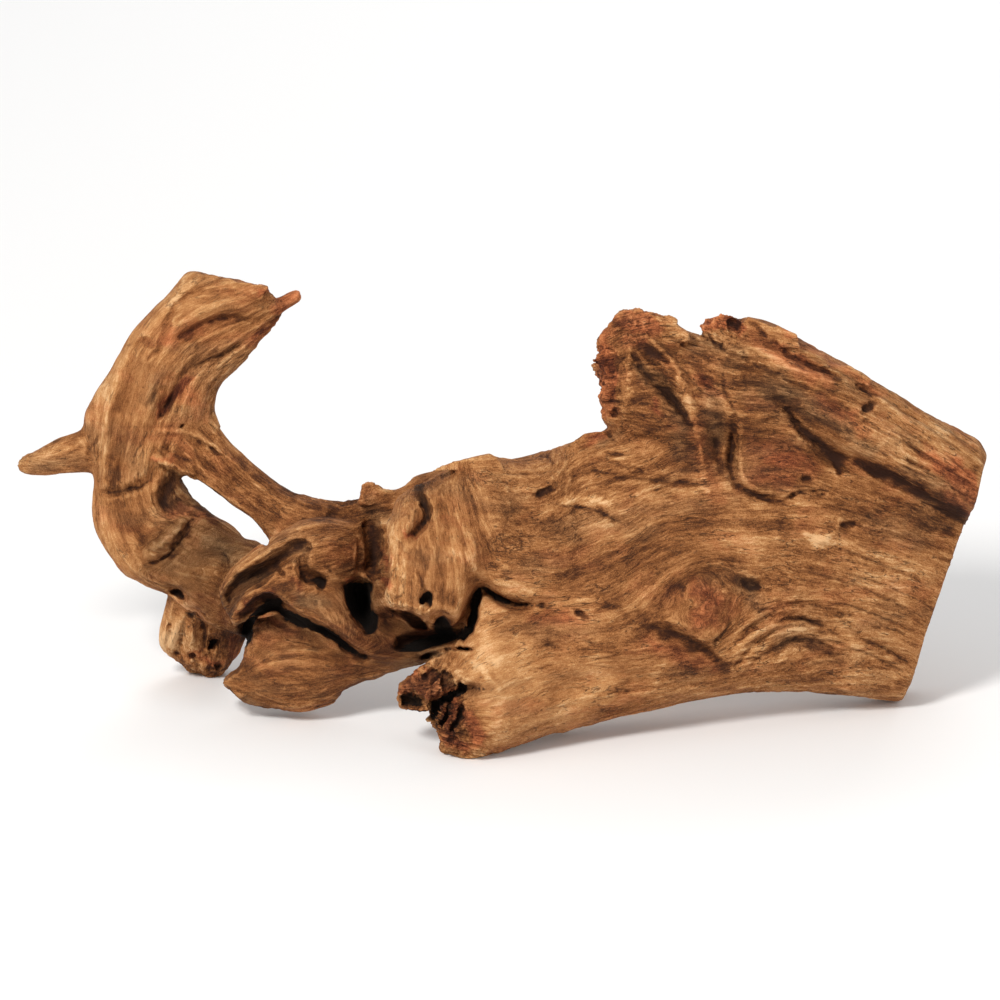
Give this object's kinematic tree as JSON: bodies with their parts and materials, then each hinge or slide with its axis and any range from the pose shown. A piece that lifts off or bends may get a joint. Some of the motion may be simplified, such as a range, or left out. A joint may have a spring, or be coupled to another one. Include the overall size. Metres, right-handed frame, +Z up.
{
  "type": "piece of driftwood",
  "caption": "Long weathered piece of driftwood: a sawn trunk with a bough along its top, a gnarled hollow middle and a curved horn, resting on its lowest points.",
  "frame": {"origin": "on the ground, under the middle of the piece's bounding box", "axes": "+X along the piece from the horn to the sawn end, +Y away from the front that the picture shows, +Z up"},
  "size_m": [1.0222, 0.315, 0.4628],
  "materials": {
    "wood": "raw, weathered, matt"
  },
  "bodies": {
    "root": {"driftwood": "wood"}
  },
  "joints": []
}
